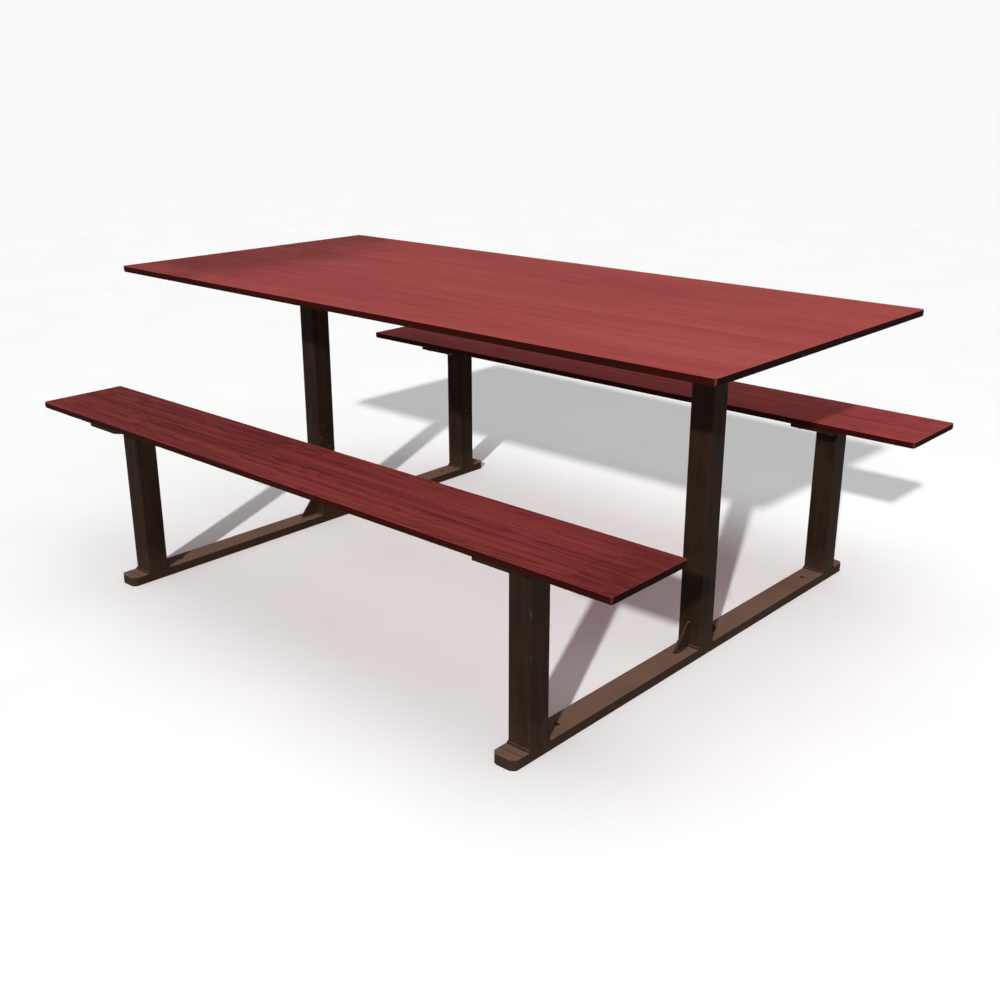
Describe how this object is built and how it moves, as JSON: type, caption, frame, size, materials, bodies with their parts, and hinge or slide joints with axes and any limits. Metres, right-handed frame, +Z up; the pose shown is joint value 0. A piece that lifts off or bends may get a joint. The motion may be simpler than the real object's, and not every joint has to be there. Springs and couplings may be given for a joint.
{
  "type": "picnic table",
  "caption": "Free-standing picnic table: a thin flat tabletop and two fixed benches, bolted to welded steel frames with square posts on low ground rails.",
  "frame": {"origin": "on the floor, under the middle of the tabletop", "axes": "+X along the table, +Y from the front bench to the back bench, +Z up"},
  "size_m": [1.81, 1.356, 0.75],
  "materials": {
    "wood_panel": "red-brown stained timber, satin, grain along the table, dark edges",
    "painted_steel": "dark brown powder coat, satin, slightly textured",
    "zinc_steel": "zinc plated, dull",
    "insert_brass": "turned brass"
  },
  "bodies": {
    "root": {"tabletop": "wood_panel", "bench_front": "wood_panel", "bench_back": "wood_panel", "tabletop_inserts": "insert_brass", "tabletop_washers": "zinc_steel", "tabletop_bolts": "zinc_steel", "bench_front_inserts": "insert_brass", "bench_front_washers": "zinc_steel", "bench_front_bolts": "zinc_steel", "bench_back_inserts": "insert_brass", "bench_back_washers": "zinc_steel", "bench_back_bolts": "zinc_steel", "ground_rail_left": "painted_steel", "table_post_left": "painted_steel", "table_plate_left": "painted_steel", "rail_end_left_front": "painted_steel", "bench_post_left_front": "painted_steel", "bench_plate_left_front": "painted_steel", "foot_gusset_left_front": "painted_steel", "top_gusset_left_front": "painted_steel", "rail_end_left_back": "painted_steel", "bench_post_left_back": "painted_steel", "bench_plate_left_back": "painted_steel", "foot_gusset_left_back": "painted_steel", "top_gusset_left_back": "painted_steel", "ground_rail_right": "painted_steel", "table_post_right": "painted_steel", "table_plate_right": "painted_steel", "rail_end_right_front": "painted_steel", "bench_post_right_front": "painted_steel", "bench_plate_right_front": "painted_steel", "foot_gusset_right_front": "painted_steel", "top_gusset_right_front": "painted_steel", "rail_end_right_back": "painted_steel", "bench_post_right_back": "painted_steel", "bench_plate_right_back": "painted_steel", "foot_gusset_right_back": "painted_steel", "top_gusset_right_back": "painted_steel", "anchor_sleeves": "zinc_steel"}
  },
  "joints": []
}
